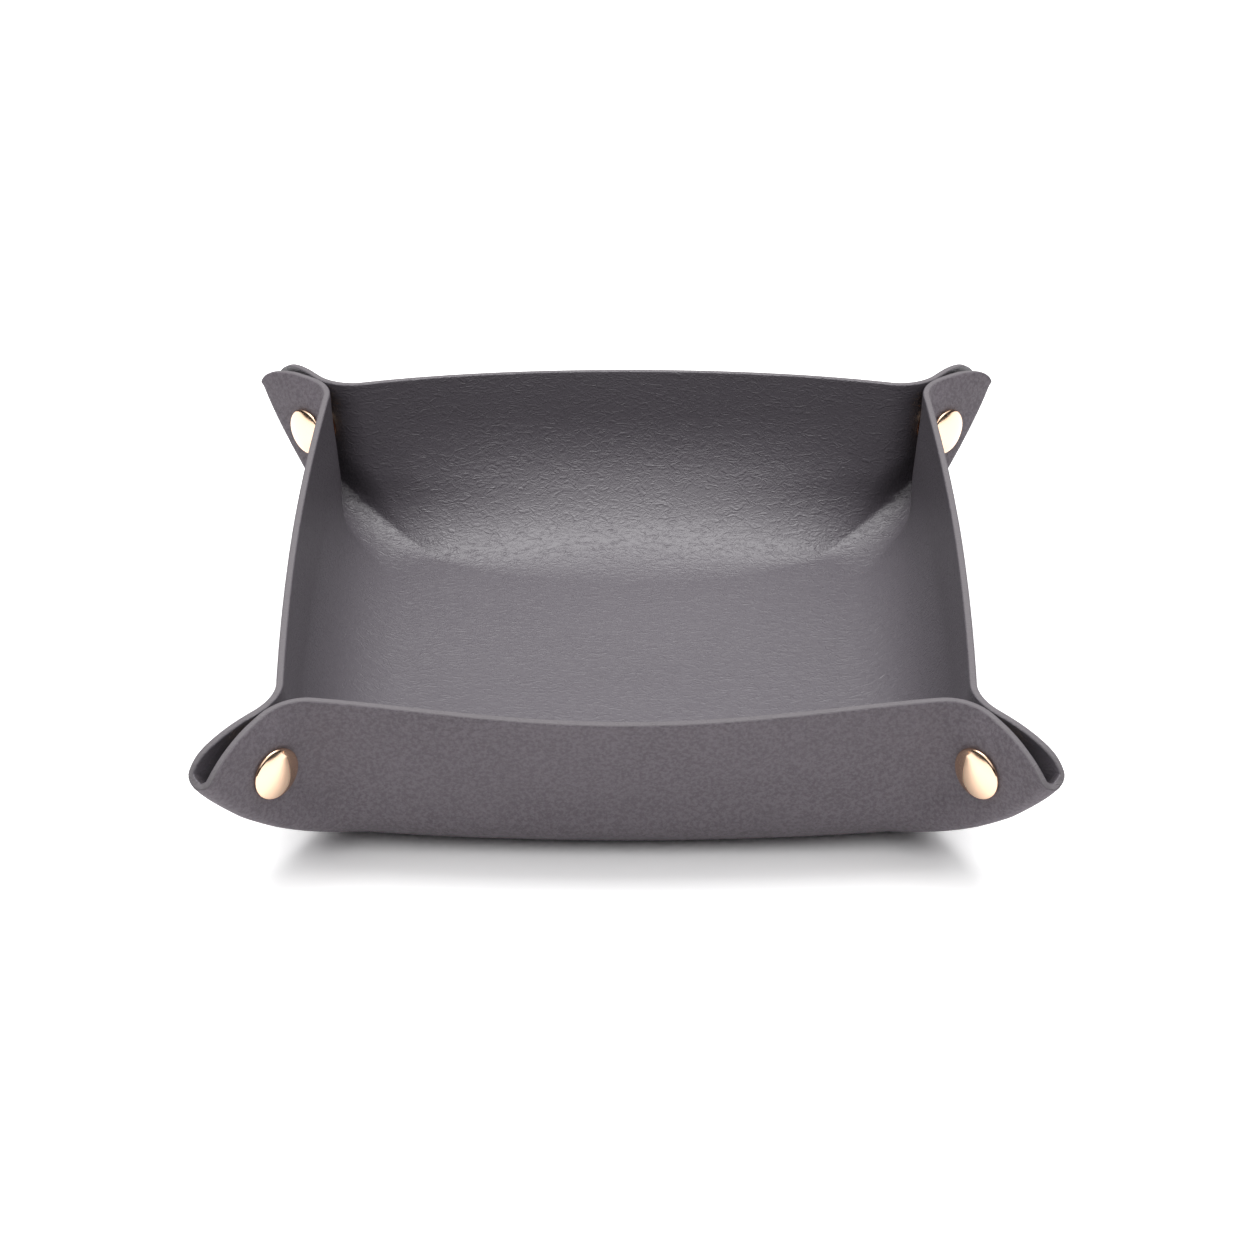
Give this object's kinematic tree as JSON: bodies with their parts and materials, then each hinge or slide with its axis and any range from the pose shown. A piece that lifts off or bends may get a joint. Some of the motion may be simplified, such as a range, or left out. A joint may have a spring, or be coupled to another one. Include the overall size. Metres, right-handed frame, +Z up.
{
  "type": "valet tray",
  "caption": "Square desk tray folded from a leather sheet, its walls held up by corners pinched into ears and closed by domed snaps.",
  "frame": {"origin": "middle of the flat underside, under the middle of the tray", "axes": "+Z up, +X to the tray's right, -Y to the front; the four ears point along the diagonals"},
  "size_m": [0.1956, 0.1956, 0.046],
  "materials": {
    "grey_leather": "satin, fine grain",
    "rose_gold_metal": "polished rose-gold plating",
    "spring_metal": "drawn wire"
  },
  "bodies": {
    "tray": {"leather_sheet": "grey_leather", "front_left_snap_cap": "rose_gold_metal", "front_left_snap_socket": "rose_gold_metal", "front_left_snap_ring_spring": "spring_metal", "front_right_snap_cap": "rose_gold_metal", "front_right_snap_socket": "rose_gold_metal", "front_right_snap_ring_spring": "spring_metal", "back_left_snap_cap": "rose_gold_metal", "back_left_snap_socket": "rose_gold_metal", "back_left_snap_ring_spring": "spring_metal", "back_right_snap_cap": "rose_gold_metal", "back_right_snap_socket": "rose_gold_metal", "back_right_snap_ring_spring": "spring_metal"},
    "front_left_snap_half": {"front_left_snap_stud": "rose_gold_metal", "front_left_snap_post": "rose_gold_metal"},
    "front_right_snap_half": {"front_right_snap_stud": "rose_gold_metal", "front_right_snap_post": "rose_gold_metal"},
    "back_left_snap_half": {"back_left_snap_stud": "rose_gold_metal", "back_left_snap_post": "rose_gold_metal"},
    "back_right_snap_half": {"back_right_snap_stud": "rose_gold_metal", "back_right_snap_post": "rose_gold_metal"}
  },
  "joints": [
    {"name": "front_left_snap_release", "type": "slide", "parent": "tray", "child": "front_left_snap_half", "axis": [-0.7071, 0.7071, 0], "range_m": [0, 0.006], "deforming": ["leather_sheet", "front_left_snap_ring_spring"]},
    {"name": "front_right_snap_release", "type": "slide", "parent": "tray", "child": "front_right_snap_half", "axis": [0.7071, 0.7071, 0], "range_m": [0, 0.006], "deforming": ["leather_sheet", "front_right_snap_ring_spring"]},
    {"name": "back_left_snap_release", "type": "slide", "parent": "tray", "child": "back_left_snap_half", "axis": [0.7071, 0.7071, 0], "range_m": [0, 0.006], "deforming": ["leather_sheet", "back_left_snap_ring_spring"]},
    {"name": "back_right_snap_release", "type": "slide", "parent": "tray", "child": "back_right_snap_half", "axis": [-0.7071, 0.7071, 0], "range_m": [0, 0.006], "deforming": ["leather_sheet", "back_right_snap_ring_spring"]}
  ]
}
